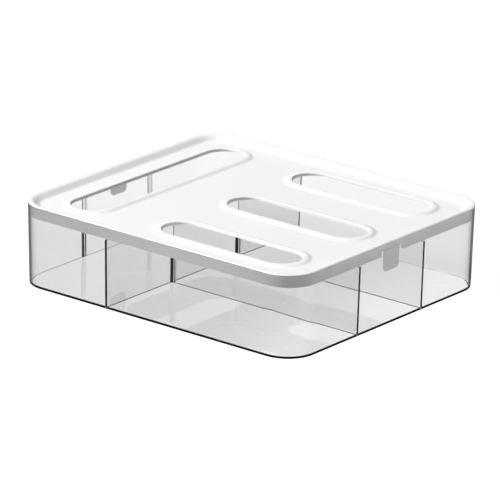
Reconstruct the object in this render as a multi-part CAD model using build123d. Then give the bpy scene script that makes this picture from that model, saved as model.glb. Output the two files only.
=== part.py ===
from build123d import *
import os
from math import radians, tan

# Driving dimensions in millimetres. The origin is the middle of the footprint on the
# surface that the box stands on: X runs along the front, Y to the back, Z up.

# Tray: an open clear box whose walls lean outwards
base_length = 322.0
base_depth = 282.0
base_corner = 29.2
wall_height = 77.4
wall_thickness = 2.0
floor_thickness = 1.6
wall_draft = 1.2
foot_round = 0.8
floor_round = 1.0

# Dividers: plates that stand in shallow grooves in the walls and the floor. The long
# compartment is measured from the foot of the left wall to the middle of its plate.
divider_thickness = 2.0
divider_skirt_gap = 0.9
long_compartment = 107.3
cross_compartment = 94.0
groove_depth = 0.5
plate_clearance = 0.15

# Guides: they hold the ends of the cross plates. On the long plate stands a post for each,
# a sloping block with a groove in its face; the plate is cut away below to clear it.
guide_height = 40.0
post_reach = 3.0
post_foot = 2.4
post_land = 1.2
post_groove = 0.5

# On the left wall stand pairs of low ribs, upright beside the plate and sloping down to
# a foot on the other side.
rib_reach = 1.3
rib_foot = 2.4
rib_land = 0.3
rib_root = 1.0

# Lid: a sunken panel inside a raised rim, with a skirt that drops inside the walls.
# Depths are measured down from the top of the walls.
seat_gap = 0.3
rim_rise = 1.6
rim_edge_round = 0.9
rim_crest = 4.5
rim_slope = 6.5
rim_round = 6.0
lid_thickness = 1.2
panel_drop = 4.6
rim_flat = 4.0
skirt_gap = 0.4
skirt_thickness = 1.6
skirt_depth = 11.0

# Openings in the lid: round-ended slots with a raised bead around each
slot_width = 38.5
side_margin = 33.5
end_margin = 28.3
cross_slot_length = 151.5
bead_rise = 1.8
bead_edge_round = 1.2
bead_crest = 4.2
bead_slope = 3.5
bead_round = 6.0
bead_flat = 2.3

# Latches: sprung tongues in the left and right skirt
latch_width = 21.5
latch_depth = 26.4
latch_corner = 4.2
latch_root_depth = 5.6
latch_root_gap = 0.2
slit_width = 4.2
slit_corner = 2.0

# Sizes that follow
long_divider_x = long_compartment - base_length / 2
cross_divider_ys = (-cross_compartment / 2, cross_compartment / 2)
cross_slot_ys = (-cross_compartment, 0, cross_compartment)
guide_gap = divider_thickness + 2 * plate_clearance
plate_face = long_divider_x + divider_thickness / 2
post_face = plate_face + post_reach
skirt_bottom = wall_height - skirt_depth
divider_top = skirt_bottom - divider_skirt_gap
latch_bottom = wall_height - latch_depth
latch_root = wall_height - latch_root_depth
rim_top = wall_height + rim_rise
panel_top = rim_top - panel_drop
panel_margin = rim_crest + rim_slope + rim_flat
bead_width = bead_crest + bead_slope + bead_flat
top_growth = wall_height * tan(radians(wall_draft))
lid_length = base_length + 2 * top_growth
lid_depth = base_depth + 2 * top_growth


def outline(height, inset):
    """Rounded rectangle of the leaning walls at a height, moved inwards by inset."""
    grow = height * tan(radians(wall_draft)) - inset
    shape = RectangleRounded(base_length + 2 * grow, base_depth + 2 * grow, base_corner + grow)
    return Pos(0, 0, height) * shape


def leaning_block(low, high, inset):
    """Solid between two heights whose sides follow the walls at a constant inset."""
    return loft([outline(low, inset), outline(high, inset)], ruled=True)


def leaning_band(low, high, inset, thickness):
    """Closed band of one thickness that follows the inside of the walls."""
    return leaning_block(low, high, inset) - leaning_block(low, high, inset + thickness)


def slab(x_low, x_high, y_low, y_high, z_low, z_high):
    """Box between two corners."""
    middle = ((x_low + x_high) / 2, (y_low + y_high) / 2, (z_low + z_high) / 2)
    return Pos(*middle) * Box(x_high - x_low, y_high - y_low, z_high - z_low)


def rib_section(y_middle, side, height):
    """One rib of a wall guide in plan: upright beside the plate, sloping to its foot."""
    face = wall_thickness - base_length / 2 - height * tan(radians(wall_draft))
    near = y_middle + side * guide_gap / 2
    foot = near + side * rib_foot
    corners = (
        (face - rib_root, near), (face + rib_reach, near),
        (face + rib_reach, near + side * rib_land), (face, foot), (face - rib_root, foot),
    )
    return Pos(0, 0, height) * make_face(Polyline(*corners, close=True))


def ring(path, section):
    """Sweep a section, drawn as inset and height, around a closed level path."""
    start = path @ 0
    along = path % 0
    inward = Vector(0, 0, 1).cross(along)
    if inward.dot(path.center() - start) < 0:
        inward = -inward
    plane = Plane(origin=start, x_dir=inward, z_dir=inward.cross(Vector(0, 0, 1)))
    return sweep(plane * section, path=path)


def make_tray():
    """Clear tray: floor, leaning walls, grooves for the dividers and the wall guides."""
    shell = leaning_block(0, wall_height, 0)
    shell = fillet(shell.faces().sort_by(Axis.Z)[0].edges(), foot_round)
    cavity = leaning_block(floor_thickness, rim_top, wall_thickness)
    cavity = fillet(cavity.faces().sort_by(Axis.Z)[0].edges(), floor_round)
    tray = shell - cavity

    past = base_length
    half_gap = guide_gap / 2
    groove_top = divider_top + plate_clearance
    groove_space = leaning_block(floor_thickness - groove_depth, groove_top, wall_thickness - groove_depth)
    long_cut = slab(long_divider_x - half_gap, long_divider_x + half_gap, -past, past, 0, wall_height)
    tray -= groove_space & long_cut
    for y in cross_divider_ys:
        tray -= groove_space & slab(long_divider_x, past, y - half_gap, y + half_gap, 0, wall_height)

    for y in cross_divider_ys:
        for side in (-1, 1):
            ends = [rib_section(y, side, z) for z in (floor_thickness - groove_depth, guide_height)]
            tray += loft(ends, ruled=True)
    return tray


def divider_space():
    """Room for the dividers: the tray's inside with its grooves, less the clearance."""
    low = floor_thickness - groove_depth + plate_clearance
    return leaning_block(low, divider_top, wall_thickness - groove_depth + plate_clearance)


def post_section(y_middle):
    """One post in plan: it slopes out from the plate to a face with a groove in it."""
    half_gap = guide_gap / 2
    foot = half_gap + post_foot
    land = half_gap + post_land
    slope = [
        (long_divider_x, -foot), (plate_face, -foot), (post_face, -land), (post_face, -half_gap),
        (post_face - post_groove, -half_gap),
    ]
    mirrored = [(x, -y) for x, y in reversed(slope)]
    return Pos(0, y_middle) * make_face(Polyline(*slope, *mirrored, close=True))


def make_long_divider():
    """Plate from front to back with a post at each cross divider."""
    half = divider_thickness / 2
    plate = divider_space() & slab(
        long_divider_x - half, long_divider_x + half, -base_length, base_length, 0, wall_height
    )
    low = floor_thickness + plate_clearance
    for y in cross_divider_ys:
        plate += extrude(Pos(0, 0, low) * post_section(y), guide_height - low)
    return plate


def make_cross_divider(y):
    """Plate from the long divider to the right wall, cut away below for the post."""
    half = divider_thickness / 2
    start = plate_face + plate_clearance
    plate = divider_space() & slab(start, base_length, y - half, y + half, 0, wall_height)
    in_groove = post_face - post_groove + plate_clearance
    above_post = guide_height + plate_clearance
    return plate - slab(plate_face, in_groove, y - guide_gap, y + guide_gap, 0, above_post)


def slot_places():
    """Centre, length and turn of each opening: one long slot, then one per compartment."""
    long_x = -lid_length / 2 + side_margin + slot_width / 2
    long_length = lid_depth - 2 * end_margin
    cross_x = lid_length / 2 - side_margin - cross_slot_length / 2
    places = [(long_x, 0, long_length, 90)]
    for y in cross_slot_ys:
        places.append((cross_x, y, cross_slot_length, 0))
    return places


def slot_outline(place, spread):
    """Round-ended slot, widened by spread on every side."""
    x, y, length, turn = place
    shape = SlotOverall(length + 2 * spread, slot_width + 2 * spread)
    return Pos(x, y) * Rot(0, 0, turn) * shape


def rim_section():
    """Section of the rim: flange on the wall, rounded crest and slope down to the panel."""
    flange_under = wall_height + seat_gap
    slope_end = rim_crest + rim_slope
    top = FilletPolyline(
        (0, flange_under), (0, rim_top), (rim_crest, rim_top),
        (slope_end, panel_top), (panel_margin, panel_top),
        radius=[rim_edge_round, rim_round, rim_round],
    )
    under = Polyline(
        (panel_margin, panel_top), (panel_margin, panel_top - lid_thickness),
        (slope_end - lid_thickness / 2, panel_top - lid_thickness),
        (rim_crest, flange_under), (0, flange_under),
    )
    return make_face(top + under)


def bead_section():
    """Section of the bead at a slot: upright inner face, rounded crest, slope to the panel."""
    crest = panel_top + bead_rise
    under = panel_top - lid_thickness
    slope_end = bead_crest + bead_slope
    top = FilletPolyline(
        (0, under), (0, crest), (-bead_crest, crest), (-slope_end, panel_top), (-bead_width, panel_top),
        radius=[bead_edge_round, bead_round, bead_round],
    )
    back = Polyline((-bead_width, panel_top), (-bead_width, under), (0, under))
    return make_face(top + back)


def make_lid():
    """White lid: rim, panel, beaded slots and the skirt with a gap for each latch."""
    rim_path = RectangleRounded(lid_length, lid_depth, base_corner + top_growth).wire()
    lid = ring(rim_path, rim_section())

    panel_corner = base_corner + top_growth - panel_margin
    panel = RectangleRounded(lid_length - 2 * panel_margin, lid_depth - 2 * panel_margin, panel_corner)
    for place in slot_places():
        panel -= slot_outline(place, bead_width)
    lid += extrude(Pos(0, 0, panel_top - lid_thickness) * panel, lid_thickness)
    for place in slot_places():
        lid += ring(slot_outline(place, 0).wire(), bead_section())

    skirt_top = (rim_top + wall_height) / 2
    skirt = leaning_band(skirt_bottom, skirt_top, wall_thickness + skirt_gap, skirt_thickness)
    window = latch_width / 2 + slit_width
    skirt -= slab(-base_length, base_length, -window, window, 0, latch_root)
    lowest = skirt.edges().filter_by(Axis.X).group_by(Axis.Z)[0]
    skirt = fillet([edge for edge in lowest if edge.length < window], slit_corner)
    return lid + skirt


def make_latch(side):
    """Tongue that hangs in the skirt's line between two slits; side is 1 right, -1 left."""
    top = latch_root - latch_root_gap
    band = leaning_band(latch_bottom, top, wall_thickness + skirt_gap, skirt_thickness)
    face = Rectangle(latch_width, top - latch_bottom)
    face = fillet(face.vertices().group_by(Axis.Y)[0], latch_corner)
    profile = Plane.YZ * Pos(0, (top + latch_bottom) / 2) * face
    return band & extrude(profile, side * base_length)


parts = {"tray": make_tray(), "long_divider": make_long_divider()}
for name, y in zip(("front_divider", "rear_divider"), cross_divider_ys):
    parts[name] = make_cross_divider(y)
parts["lid"] = make_lid()
parts["left_latch"] = make_latch(-1)
parts["right_latch"] = make_latch(1)

os.makedirs("parts", exist_ok=True)
for name, shape in parts.items():
    export_step(shape, f"parts/{name}.step")
    size = shape.bounding_box().size
    print(f"{name}: {size.X:.1f} x {size.Y:.1f} x {size.Z:.1f} mm, {shape.volume / 1000:.2f} cm3")
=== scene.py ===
# %% [markdown]
# # A divided storage box with a slotted lid
#
# The object is a low box moulded in clear plastic, with clear plates that divide it and a
# white lid with four round-ended openings. The solids come from the CAD model, so this
# lesson is about what makes such a box look right: how light runs inside clear plastic,
# the soft white of a moulded lid, and a studio that leaves both of them easy to read.

from math import degrees, radians, tan

import bmesh
import bpy
from mathutils import Matrix, Vector


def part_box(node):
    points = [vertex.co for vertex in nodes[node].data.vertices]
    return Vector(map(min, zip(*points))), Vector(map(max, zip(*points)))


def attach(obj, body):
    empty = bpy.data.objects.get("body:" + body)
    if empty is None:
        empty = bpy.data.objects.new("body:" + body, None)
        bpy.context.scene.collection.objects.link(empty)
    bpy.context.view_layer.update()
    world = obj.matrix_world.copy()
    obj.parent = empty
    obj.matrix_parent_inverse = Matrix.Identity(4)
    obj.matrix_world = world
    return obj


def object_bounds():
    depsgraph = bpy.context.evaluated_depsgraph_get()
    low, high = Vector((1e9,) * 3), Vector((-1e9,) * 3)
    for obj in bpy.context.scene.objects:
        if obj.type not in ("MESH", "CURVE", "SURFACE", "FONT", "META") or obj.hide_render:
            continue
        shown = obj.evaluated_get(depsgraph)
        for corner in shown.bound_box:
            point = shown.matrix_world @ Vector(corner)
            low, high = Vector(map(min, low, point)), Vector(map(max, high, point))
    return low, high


MM_IN_METRE = 1000

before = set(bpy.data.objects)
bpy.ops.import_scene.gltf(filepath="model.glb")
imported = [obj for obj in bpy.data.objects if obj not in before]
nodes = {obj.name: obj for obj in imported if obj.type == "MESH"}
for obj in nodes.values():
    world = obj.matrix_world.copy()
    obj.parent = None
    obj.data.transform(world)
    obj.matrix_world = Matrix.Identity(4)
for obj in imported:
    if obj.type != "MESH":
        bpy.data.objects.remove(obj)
cad_low, cad_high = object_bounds()
for name in sorted(nodes):
    low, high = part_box(name)
    print(name, "size in mm", [round((b - a) * MM_IN_METRE, 1) for a, b in zip(low, high)])

# %% [markdown]
# ## The camera
#
# The photograph was taken from the front and the right, a little above the lid, with a
# long lens from several metres away, so that parallel edges stay nearly parallel. A short
# lens close by would spread them. The camera is placed by the corners of the box: its
# place, its turn and its lens were worked out from where the edges of the base and of the
# walls lie in the picture.

# %% Place the camera
CAMERA_PLACE = (2.733207, -3.423807, 1.553050)
CAMERA_AZIMUTH = 38.6108
CAMERA_ELEVATION = 19.1471
CAMERA_ROLL = 1.0429
FOCAL_LENGTH = 365.60
SENSOR_WIDTH = 36.0
NEAREST, FARTHEST = 0.1, 100.0


def looking(azimuth, elevation, roll):
    """Turn of a camera that looks at the object from a compass angle and a height."""
    turn = Matrix.Rotation(radians(azimuth), 3, "Z")
    tilt = Matrix.Rotation(radians(90 - elevation), 3, "X")
    lean = Matrix.Rotation(radians(roll), 3, "Z")
    return (turn @ tilt @ lean).to_4x4()


lens = bpy.data.cameras.new("camera")
lens.lens = FOCAL_LENGTH
lens.sensor_width = SENSOR_WIDTH
lens.clip_start, lens.clip_end = NEAREST, FARTHEST
camera = bpy.data.objects.new("camera", lens)
camera.matrix_world = Matrix.Translation(CAMERA_PLACE) @ looking(
    CAMERA_AZIMUTH, CAMERA_ELEVATION, CAMERA_ROLL
)
scene = bpy.context.scene
scene.collection.objects.link(camera)
scene.camera = camera
print("the camera is", round(Vector(CAMERA_PLACE).length, 2), "m from the object")

# %% [markdown]
# ## What every moulded surface has
#
# Plastic that was pushed hot into a steel mould is never perfectly flat. Over a few
# centimetres its skin swells and sinks by hundredths of a millimetre, because it shrinks
# unevenly as it cools. Closer up it keeps the grain of the steel: nearly nothing from a
# polished mould, a fine orange peel from a satin one. Where the skin sank, it also let go
# of the steel a little earlier and is a touch rougher there.
#
# Both plastics of the box need this, each with its own sizes. So it is built once, as a
# shader node group with named inputs, and placed in each material with other values. It
# reads Object coordinates, in metres, and so its heights are real heights in metres.

# %% Helpers that make nodes
def wired(tree, kind, *values):
    """A new node whose inputs, in order, are nodes, sockets of nodes or plain values."""
    node = tree.nodes.new(kind)
    for socket, value in zip(node.inputs, values):
        if isinstance(value, bpy.types.Node):
            value = value.outputs[0]
        if isinstance(value, bpy.types.NodeSocket):
            tree.links.new(value, socket)
        elif value is not None:
            socket.default_value = value
    return node


def number(tree, operation, *values):
    """Result of a Math node."""
    node = wired(tree, "ShaderNodeMath", *values)
    node.operation = operation
    return node.outputs["Value"]


def eased(tree, value, low, high, out_low, out_high):
    """Result of a Map Range that goes softly from one value to another."""
    node = wired(tree, "ShaderNodeMapRange", value, low, high, out_low, out_high)
    node.interpolation_type = "SMOOTHSTEP"
    return node.outputs["Result"]


def coordinates(tree, kind):
    """X, Y and Z of one of the outputs of a Texture Coordinate node."""
    where = tree.nodes.new("ShaderNodeTexCoord").outputs[kind]
    return wired(tree, "ShaderNodeSeparateXYZ", where).outputs


# %% Build the moulded surface group
SETTINGS = (
    "Wave Size", "Wave Height", "Grain Size", "Grain Height", "Rough Low", "Rough High"
)
WAVE_DETAIL = 1.0
GRAIN_DETAIL = 2.0
NOISE_LOW, NOISE_HIGH = 0.3, 0.7

moulded = bpy.data.node_groups.new("moulded surface", "ShaderNodeTree")
for title in SETTINGS:
    moulded.interface.new_socket(title, in_out="INPUT", socket_type="NodeSocketFloat")
for title in ("Height", "Roughness", "Sunk"):
    moulded.interface.new_socket(title, in_out="OUTPUT", socket_type="NodeSocketFloat")
given = moulded.nodes.new("NodeGroupInput").outputs
place = moulded.nodes.new("ShaderNodeTexCoord").outputs["Object"]


def noise(size, detail):
    """Noise whose lumps are about as wide as the size that is given, in metres."""
    texture = moulded.nodes.new("ShaderNodeTexNoise")
    moulded.links.new(place, texture.inputs["Vector"])
    moulded.links.new(number(moulded, "DIVIDE", 1.0, size), texture.inputs["Scale"])
    texture.inputs["Detail"].default_value = detail
    return texture.outputs["Fac"]


waves = noise(given["Wave Size"], WAVE_DETAIL)
grain = noise(given["Grain Size"], GRAIN_DETAIL)
height = number(
    moulded, "ADD",
    number(moulded, "MULTIPLY", waves, given["Wave Height"]),
    number(moulded, "MULTIPLY", grain, given["Grain Height"]),
)
rough = eased(
    moulded, waves, NOISE_LOW, NOISE_HIGH, given["Rough High"], given["Rough Low"]
)
sunk = eased(moulded, waves, NOISE_LOW, NOISE_HIGH, 1.0, 0.0)
wired(moulded, "NodeGroupOutput", height, rough, sunk)
print("moulded surface has", len(moulded.nodes), "nodes")

# %% [markdown]
# ## Clear plastic
#
# Light that meets a clear wall splits: a little bounces off, and most of it bends and goes
# on. The Principled shader does this with Transmission Weight. Real clear plastic also
# swallows a little light on every millimetre, which hardly shows across a wall but turns
# an edge dark, because light that enters at an edge runs a long way inside the plate. The
# Volume Absorption node gives that, and it is why the edges of the plates and the foot of
# the box read as dark lines in the photograph.
#
# A lamp's rays don't find their way through bent glass, so the Light Path node lets them
# pass straight on. The rays that carry the glow of the table to the lid pass nearly
# unhindered. The rays that come from the lamp are held back more, as a tilted wall does,
# so the skirt inside the walls is lit evenly from below, without the shadow of the rim.

# %% A material with a moulded surface
def moulded_material(name, settings):
    """A material, its Principled shader and its moulded surface group, joined up."""
    material = bpy.data.materials.new(name)
    material.use_nodes = True
    tree = material.node_tree
    body = tree.nodes["Principled BSDF"]
    group = tree.nodes.new("ShaderNodeGroup")
    group.node_tree = moulded
    for title, value in settings.items():
        group.inputs[title].default_value = value
    bump = tree.nodes.new("ShaderNodeBump")
    bump.inputs["Strength"].default_value = 1.0
    bump.inputs["Distance"].default_value = 1.0
    tree.links.new(group.outputs["Height"], bump.inputs["Height"])
    tree.links.new(group.outputs["Roughness"], body.inputs["Roughness"])
    tree.links.new(bump.outputs["Normal"], body.inputs["Normal"])
    return material, body, group


# %% Make the clear plastic
CLEAR_TINT = (0.985, 0.987, 0.988, 1.0)
CLEAR_IOR = 1.57
POLISHED = {
    "Wave Size": 0.028, "Wave Height": 0.000012, "Grain Size": 0.0014,
    "Grain Height": 0.0000003, "Rough Low": 0.008, "Rough High": 0.018,
}

clear, body, group = moulded_material("clear plastic", POLISHED)
body.inputs["Base Color"].default_value = CLEAR_TINT
body.inputs["IOR"].default_value = CLEAR_IOR
body.inputs["Transmission Weight"].default_value = 1.0
print("clear plastic is", round(POLISHED["Wave Height"] * MM_IN_METRE, 3), "mm wavy")

# %% Let light through the clear plastic
GLOW_PASSES = (0.90, 0.90, 0.90, 1.0)
LAMP_PASSES = (0.30, 0.30, 0.30, 1.0)
SWALLOWED_COLOUR = (0.5, 0.5, 0.5, 1.0)
SWALLOWED_PER_METRE = 30.0

tree = clear.node_tree
rays = tree.nodes.new("ShaderNodeLightPath").outputs
glow_through = wired(tree, "ShaderNodeBsdfTransparent", GLOW_PASSES)
lamp_through = wired(tree, "ShaderNodeBsdfTransparent", LAMP_PASSES)
with_glow = wired(tree, "ShaderNodeMixShader", rays["Is Diffuse Ray"], body, glow_through)
with_lamp = wired(
    tree, "ShaderNodeMixShader", rays["Is Shadow Ray"], with_glow, lamp_through
)
inside = wired(tree, "ShaderNodeVolumeAbsorption", SWALLOWED_COLOUR, SWALLOWED_PER_METRE)
output = tree.nodes["Material Output"]
tree.links.new(with_lamp.outputs[0], output.inputs["Surface"])
tree.links.new(inside.outputs[0], output.inputs["Volume"])
print("of the lamp's light each clear face lets", LAMP_PASSES[0], "through")

# %% [markdown]
# ## White plastic
#
# The lid and its two latches are solid white mouldings. The photograph shows them soft,
# almost without highlights: a satin skin, so the roughness is well above that of the box.
# Where the skin sank, the white is a trace darker. A plain white would look like paper,
# and a strong grain would look like leather, so the peel stays a few thousandths of a
# millimetre high and shows only where light grazes it.

# %% Make the white plastic
WHITE = (0.868, 0.868, 0.866, 1.0)
WHITE_SUNK = (0.850, 0.850, 0.850, 1.0)
SATIN = {
    "Wave Size": 0.045, "Wave Height": 0.00003, "Grain Size": 0.0009,
    "Grain Height": 0.000005, "Rough Low": 0.40, "Rough High": 0.50,
}

white, body, group = moulded_material("white plastic", SATIN)
tree = white.node_tree
shade = wired(tree, "ShaderNodeValToRGB", group.outputs["Sunk"])
shade.color_ramp.elements[0].color = WHITE
shade.color_ramp.elements[1].color = WHITE_SUNK
tree.links.new(shade.outputs["Color"], body.inputs["Base Color"])
print("white plastic is rough from", SATIN["Rough Low"], "to", SATIN["Rough High"])

# %% [markdown]
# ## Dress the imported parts
#
# The shapes of the box are all right as they come from the CAD model: the tray with its
# leaning walls, the plates, the lid and its latches. So they stay, and only get a better
# material. A piece modelled again here would look the same and could be out of place.

# %% Give each part its plastic
CLEAR_PARTS = ("tray", "long_divider", "front_divider", "rear_divider")
for name, node in nodes.items():
    node.data.materials.clear()
    node.data.materials.append(clear if name in CLEAR_PARTS else white)
    print(name, "is", node.data.materials[0].name)

# %% [markdown]
# ## The tops of the wall guides
#
# On the inside of the left wall, across from each cross plate, stands a pair of low ribs.
# The tray carries them up to 40 mm. The photograph shows through the long opening that
# they go on above that, as faint upright lines, up to where the lid's skirt ends.
#
# The four rib tops are one shape that repeats: mirrored to make a pair, and the pair set
# down at the two cross plates. Geometry Nodes does that with named inputs, and a change of
# a size moves all four. They reach out less than the ribs below them, because their lines
# are thinner in the photograph. Each top stands a hair off the wall and off the rib below,
# because two clear solids that share a face confuse the light that passes through both.

# %% Shape one rib top
FOOT_HALF_LENGTH = 0.161
WALL_THICKNESS = 0.002
WALL_DRAFT = 1.2
RIB_REACH = 0.0008
RIB_FOOT = 0.0024
RIB_LAND = 0.0021
HALF_GAP = 0.00115
HAIR = 0.00003
TOP_FROM, TOP_TO = 0.04005, 0.0655


def rib_corners(height):
    """Corners of a rib at a height: upright beside the plate, sloping to its foot."""
    wall = WALL_THICKNESS - FOOT_HALF_LENGTH - height * tan(radians(WALL_DRAFT))
    plan = (
        (wall + HAIR, HALF_GAP), (wall + RIB_REACH, HALF_GAP),
        (wall + RIB_REACH, HALF_GAP + RIB_LAND), (wall + HAIR, HALF_GAP + RIB_FOOT),
    )
    return [(x, y, height) for x, y in plan]


low_corners, high_corners = rib_corners(TOP_FROM), rib_corners(TOP_TO)
sides = len(low_corners)
faces = [list(range(sides)), list(range(sides, 2 * sides))]
for i in range(sides):
    j = (i + 1) % sides
    faces.append([i, j, j + sides, i + sides])
rib = bpy.data.meshes.new("guide_tops")
rib.from_pydata(low_corners + high_corners, [], faces)
guide_tops = bpy.data.objects.new("guide_tops", rib)
scene.collection.objects.link(guide_tops)
print("one rib top is", round((TOP_TO - TOP_FROM) * MM_IN_METRE, 1), "mm high")

# %% Repeat it with Geometry Nodes
CROSS_PLATE_SPACING = 0.094
CROSS_PLATES = 2

repeat = bpy.data.node_groups.new("pairs of ribs", "GeometryNodeTree")
inputs = {
    title: repeat.interface.new_socket(title, in_out="INPUT", socket_type=kind).identifier
    for title, kind in (
        ("Rib", "NodeSocketGeometry"), ("Pairs", "NodeSocketInt"),
        ("Spacing", "NodeSocketFloat"), ("Plastic", "NodeSocketMaterial"),
    )
}
repeat.interface.new_socket("Ribs", in_out="OUTPUT", socket_type="NodeSocketGeometry")
given = repeat.nodes.new("NodeGroupInput").outputs

mirror = wired(repeat, "GeometryNodeTransform", given["Rib"])
mirror.inputs["Scale"].default_value = (1.0, -1.0, 1.0)
pair = repeat.nodes.new("GeometryNodeJoinGeometry")
repeat.links.new(given["Rib"], pair.inputs["Geometry"])
repeat.links.new(mirror.outputs["Geometry"], pair.inputs["Geometry"])

steps = number(repeat, "SUBTRACT", given["Pairs"], 1)
span = number(repeat, "MULTIPLY", given["Spacing"], steps)
front_y = number(repeat, "MULTIPLY", span, -0.5)
first = wired(repeat, "ShaderNodeCombineXYZ", None, front_y)
step = wired(repeat, "ShaderNodeCombineXYZ", None, given["Spacing"])
line = wired(repeat, "GeometryNodeMeshLine", given["Pairs"])
repeat.links.new(first.outputs[0], line.inputs["Start Location"])
repeat.links.new(step.outputs[0], line.inputs["Offset"])
placed = wired(repeat, "GeometryNodeInstanceOnPoints", line, None, pair)
real = wired(repeat, "GeometryNodeRealizeInstances", placed)
dressed = wired(repeat, "GeometryNodeSetMaterial", real, None, given["Plastic"])
wired(repeat, "NodeGroupOutput", dressed)
print("pairs of ribs has the inputs", ", ".join(inputs))

# %% Turn the ribs into one plain mesh on the tray
maker = guide_tops.modifiers.new("pairs of ribs", "NODES")
maker.node_group = repeat
maker[inputs["Pairs"]] = CROSS_PLATES
maker[inputs["Spacing"]] = CROSS_PLATE_SPACING
maker[inputs["Plastic"]] = clear
bpy.context.view_layer.update()
evaluated = guide_tops.evaluated_get(bpy.context.evaluated_depsgraph_get())
made = bpy.data.meshes.new_from_object(evaluated)
guide_tops.modifiers.remove(maker)

shell = bmesh.new()
shell.from_mesh(made)
bmesh.ops.recalc_face_normals(shell, faces=shell.faces)
volume = shell.calc_volume(signed=True) * MM_IN_METRE ** 3
print("rib tops hold", round(volume), "mm3 in", len(shell.faces), "faces")
shell.to_mesh(made)
shell.free()
made.name = "guide_tops"
guide_tops.data = made
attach(guide_tops, "tray")

# %% [markdown]
# ## The light table
#
# Clear things are photographed on a light table: a pale surface that glows by itself, so
# that the light comes through the object towards the camera. A lamp alone would leave the
# box grey and full of glints. The floor here is such a table, an emitting plane. What the
# camera sees through the clear walls is its glow, stronger under the box and a little
# weaker around it. Where nothing is in between, it is white to the camera. Places on the
# table are in metres from the middle of the box.

# %% Lay the floor
FLOOR_HALF = 6.0
FLOOR_DROP = 0.0004
FLOOR_PAINT = (0.08, 0.08, 0.08, 1.0)
FLOOR_ROUGHNESS = 0.9
FLOOR_CORNERS = ((-1, -1), (1, -1), (1, 1), (-1, 1))
GLOW_COLOUR = (1.0, 1.0, 1.0, 1.0)

mesh = bpy.data.meshes.new("floor")
corners = [(x * FLOOR_HALF, y * FLOOR_HALF, -FLOOR_DROP) for x, y in FLOOR_CORNERS]
mesh.from_pydata(corners, [], [(0, 1, 2, 3)])
floor = bpy.data.objects.new("floor", mesh)
scene.collection.objects.link(floor)
table_top = bpy.data.materials.new("light table")
table_top.use_nodes = True
mesh.materials.append(table_top)
paint = table_top.node_tree.nodes["Principled BSDF"].inputs
paint["Base Color"].default_value = FLOOR_PAINT
paint["Roughness"].default_value = FLOOR_ROUGHNESS
paint["Specular IOR Level"].default_value = 0.0
paint["Emission Color"].default_value = GLOW_COLOUR
print("the floor is", 2 * FLOOR_HALF, "m wide")

# %% Glow that is seen through the box
FOOT_INSIDE_TOP = 0.0017
GLOW_EDGE = 0.004
UNDER_LEFT, UNDER_RIGHT = 1.10, 1.33
RIGHT_FROM, RIGHT_TO = 0.03, 0.15
FRONT_SHARE, BACK_SHARE = 0.98, 1.05
FRONT_FROM, FRONT_TO = -0.10, 0.03
AROUND_FRONT, AROUND_BACK = 0.89, 0.98
AROUND_FROM, AROUND_TO = -0.04, 0.15

tree = table_top.node_tree
spot = coordinates(tree, "Object")
foot_x, foot_y = cad_high[0] - FOOT_INSIDE_TOP, cad_high[1] - FOOT_INSIDE_TOP
past_side = number(tree, "SUBTRACT", number(tree, "ABSOLUTE", spot["X"]), foot_x)
past_front = number(tree, "SUBTRACT", number(tree, "ABSOLUTE", spot["Y"]), foot_y)
past_foot = number(tree, "MAXIMUM", past_side, past_front)
outside = eased(tree, past_foot, 0.0, GLOW_EDGE, 0.0, 1.0)
under = number(
    tree, "MULTIPLY",
    eased(tree, spot["X"], RIGHT_FROM, RIGHT_TO, UNDER_LEFT, UNDER_RIGHT),
    eased(tree, spot["Y"], FRONT_FROM, FRONT_TO, FRONT_SHARE, BACK_SHARE),
)
around = eased(tree, spot["Y"], AROUND_FROM, AROUND_TO, AROUND_FRONT, AROUND_BACK)
print("seen through the box, the table glows from", AROUND_FRONT, "to", UNDER_RIGHT)

# %% [markdown]
# ## Lighting the lid from below, and the black cards
#
# The same table lights the white skirt and the latches that hang inside the clear walls.
# In the photograph the skirt is an even grey that gets lighter towards the front right
# corner and turns dark in it, as if a black card stood there beside the box. The glow for
# such rays, which Light Path calls diffuse, therefore changes from place to place: it is
# stronger on the right, and the card is a dark wedge of the table that points at the
# corner.
#
# What makes the edges of clear plastic stand out is also the dark that they mirror. The
# table dims for a ray that was mirrored on its way: Light Path counts those bounces as
# Glossy Depth, and each one multiplies the glow by the shade of the cards.

# %% Glow that lights the lid
FRONT_GLOW_LEFT, FRONT_GLOW_RIGHT = 1.17, 1.74
SIDE_GLOW = 1.58
CORNER_INSIDE = 0.03
DIAGONAL = radians(45)
CARD_DARK = 0.0
CARD_NARROW, CARD_WIDE = radians(18), radians(36)

side = eased(tree, spot["X"], cad_high[0], cad_high[0] + GLOW_EDGE, around, SIDE_GLOW)
front = eased(tree, spot["X"], cad_low[0], cad_high[0], FRONT_GLOW_LEFT, FRONT_GLOW_RIGHT)
near = eased(tree, spot["Y"], cad_low[1] - GLOW_EDGE, cad_low[1], front, side)
across = number(tree, "SUBTRACT", spot["X"], cad_high[0] - CORNER_INSIDE)
ahead = number(tree, "SUBTRACT", cad_low[1] + CORNER_INSIDE, spot["Y"])
direction = number(tree, "ARCTAN2", ahead, across)
from_diagonal = number(tree, "ABSOLUTE", number(tree, "SUBTRACT", direction, DIAGONAL))
card = eased(tree, from_diagonal, CARD_NARROW, CARD_WIDE, CARD_DARK, 1.0)
lights_lid = number(tree, "MULTIPLY", near, card)
print("the black card shades a wedge of", round(degrees(2 * CARD_WIDE)), "degrees")

# %% Put the glows together
MIRRORED_SHADE = 0.10

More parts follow.
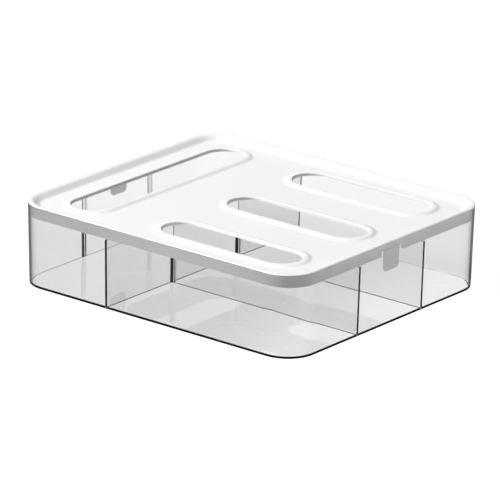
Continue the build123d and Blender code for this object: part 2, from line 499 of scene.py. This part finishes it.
rays = tree.nodes.new("ShaderNodeLightPath").outputs
beyond = wired(tree, "ShaderNodeMix", rays["Is Diffuse Ray"], None, around, lights_lid)
table = wired(tree, "ShaderNodeMix", outside, None, under, beyond)
mirrored = number(tree, "POWER", MIRRORED_SHADE, rays["Glossy Depth"])
dimmed = number(tree, "MULTIPLY", table, mirrored)
strength = number(tree, "MAXIMUM", dimmed, rays["Is Camera Ray"])
tree.links.new(strength, paint["Emission Strength"])
print("a mirrored ray keeps", MIRRORED_SHADE, "of the glow")

# %% [markdown]
# ## The studio
#
# One large soft lamp stands high in front, on the left. It draws the rim and the beads
# around the openings with soft shade on the sides that face away from it. It stands six
# metres off, because a lamp close by would light the left of the lid more than the right.
# The walls of the studio give little light, which leaves the edges of the clear plastic
# something dark to mirror, but to the camera itself they are as white as the floor. The
# Standard view keeps that white. Light may bounce often, as it crosses many clear faces.
#
# Far behind the box, on the left, stands a white card. The floor of the box mirrors it
# through the openings of the lid, as the light patches on the floor in the photograph. A
# card that lit everything would also wash out the shade on the lid, so only those rays see
# it that went into the clear plastic and were mirrored there: Light Path counts both.

# %% Paint the walls of the studio
WALL_COLOUR = (1.0, 1.0, 1.0, 1.0)
WALL_STRENGTH = 0.16
WHITE_CARD_DIRECTION = (-0.62, 0.78)
WHITE_CARD_FROM, WHITE_CARD_TO = 0.4, 0.8
WHITE_CARD_STRENGTH = 0.43

studio = bpy.data.worlds.new("studio")
scene.world = studio
studio.use_nodes = True
tree = studio.node_tree
walls = tree.nodes["Background"].inputs
walls["Color"].default_value = WALL_COLOUR
aim = coordinates(tree, "Generated")
towards_card = number(
    tree, "ADD",
    number(tree, "MULTIPLY", aim["X"], WHITE_CARD_DIRECTION[0]),
    number(tree, "MULTIPLY", aim["Y"], WHITE_CARD_DIRECTION[1]),
)
white_card = eased(
    tree, towards_card, WHITE_CARD_FROM, WHITE_CARD_TO, 0.0, WHITE_CARD_STRENGTH
)
rays = tree.nodes.new("ShaderNodeLightPath").outputs
went_in = number(tree, "MINIMUM", rays["Transmission Depth"], 1.0)
was_mirrored = number(tree, "MINIMUM", rays["Glossy Depth"], 1.0)
sees_card = number(tree, "MULTIPLY", went_in, was_mirrored)
seen_card = number(tree, "MULTIPLY", white_card, sees_card)
brightness = number(tree, "ADD", seen_card, WALL_STRENGTH)
strength = number(tree, "MAXIMUM", brightness, rays["Is Camera Ray"])
tree.links.new(strength, walls["Strength"])
print("the white card adds", WHITE_CARD_STRENGTH, "to walls of", WALL_STRENGTH)

# %% Hang the lamp and set the view
LAMP_PLACE = (-2.52, -2.70, 4.74)
LAMP_SIZE = 2.0
LAMP_POWER = 466.0
BOUNCES = 32
MIRROR_BOUNCES = 12

lamp = bpy.data.lights.new("soft lamp", "AREA")
lamp.shape = "SQUARE"
lamp.size = LAMP_SIZE
lamp.energy = LAMP_POWER
stand = bpy.data.objects.new("soft lamp", lamp)
stand.location = LAMP_PLACE
stand.rotation_mode = "QUATERNION"
stand.rotation_quaternion = (-Vector(LAMP_PLACE)).to_track_quat("-Z", "Y")
scene.collection.objects.link(stand)

scene.view_settings.view_transform = "Standard"
scene.cycles.max_bounces = BOUNCES
scene.cycles.transmission_bounces = BOUNCES
scene.cycles.transparent_max_bounces = BOUNCES
scene.cycles.glossy_bounces = MIRROR_BOUNCES
print("the lamp stands", round(Vector(LAMP_PLACE).length, 2), "m away")
